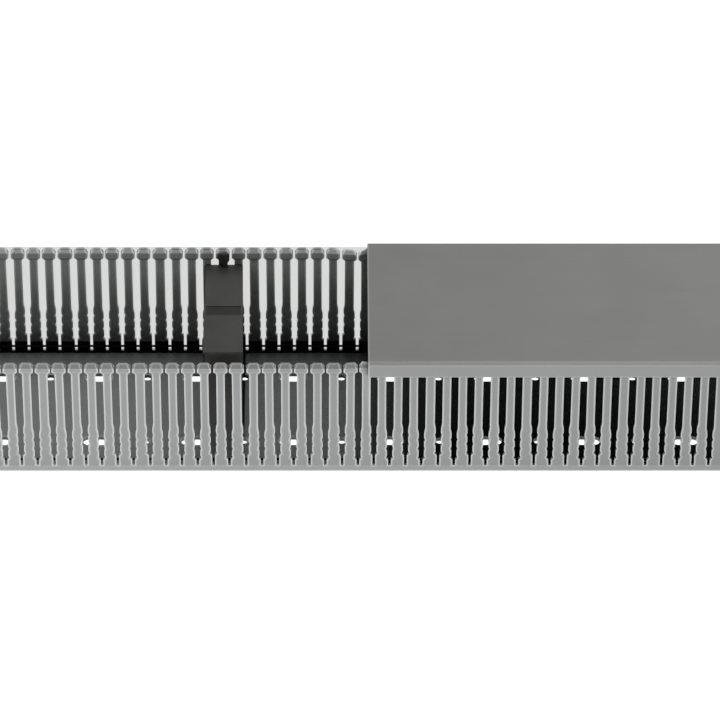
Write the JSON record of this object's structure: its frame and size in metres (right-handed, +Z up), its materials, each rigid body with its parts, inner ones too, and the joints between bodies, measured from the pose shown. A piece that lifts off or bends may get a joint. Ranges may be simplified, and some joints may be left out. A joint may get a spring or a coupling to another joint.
{
  "type": "slotted wire duct",
  "caption": "U-shaped trough with slotted walls and a slide-on cover, for routing wires inside a control cabinet.",
  "frame": {"origin": "middle of the duct's underside, on the floor", "axes": "+X along the duct towards the covered end, +Z up from the base, -Y towards the front wall"},
  "size_m": [0.5, 0.097, 0.0732],
  "materials": {
    "grey_pvc": "satin",
    "cover_grey_pvc": "satin",
    "dark_grey_plastic": "satin"
  },
  "bodies": {
    "duct": {"duct_body": "grey_pvc", "wire_retainer": "dark_grey_plastic"},
    "cover": {"cover": "cover_grey_pvc"}
  },
  "joints": [
    {"name": "cover_slide", "type": "slide", "parent": "duct", "child": "cover", "axis": [1, 0, 0], "range_m": [-0.2632, 0.1]}
  ]
}
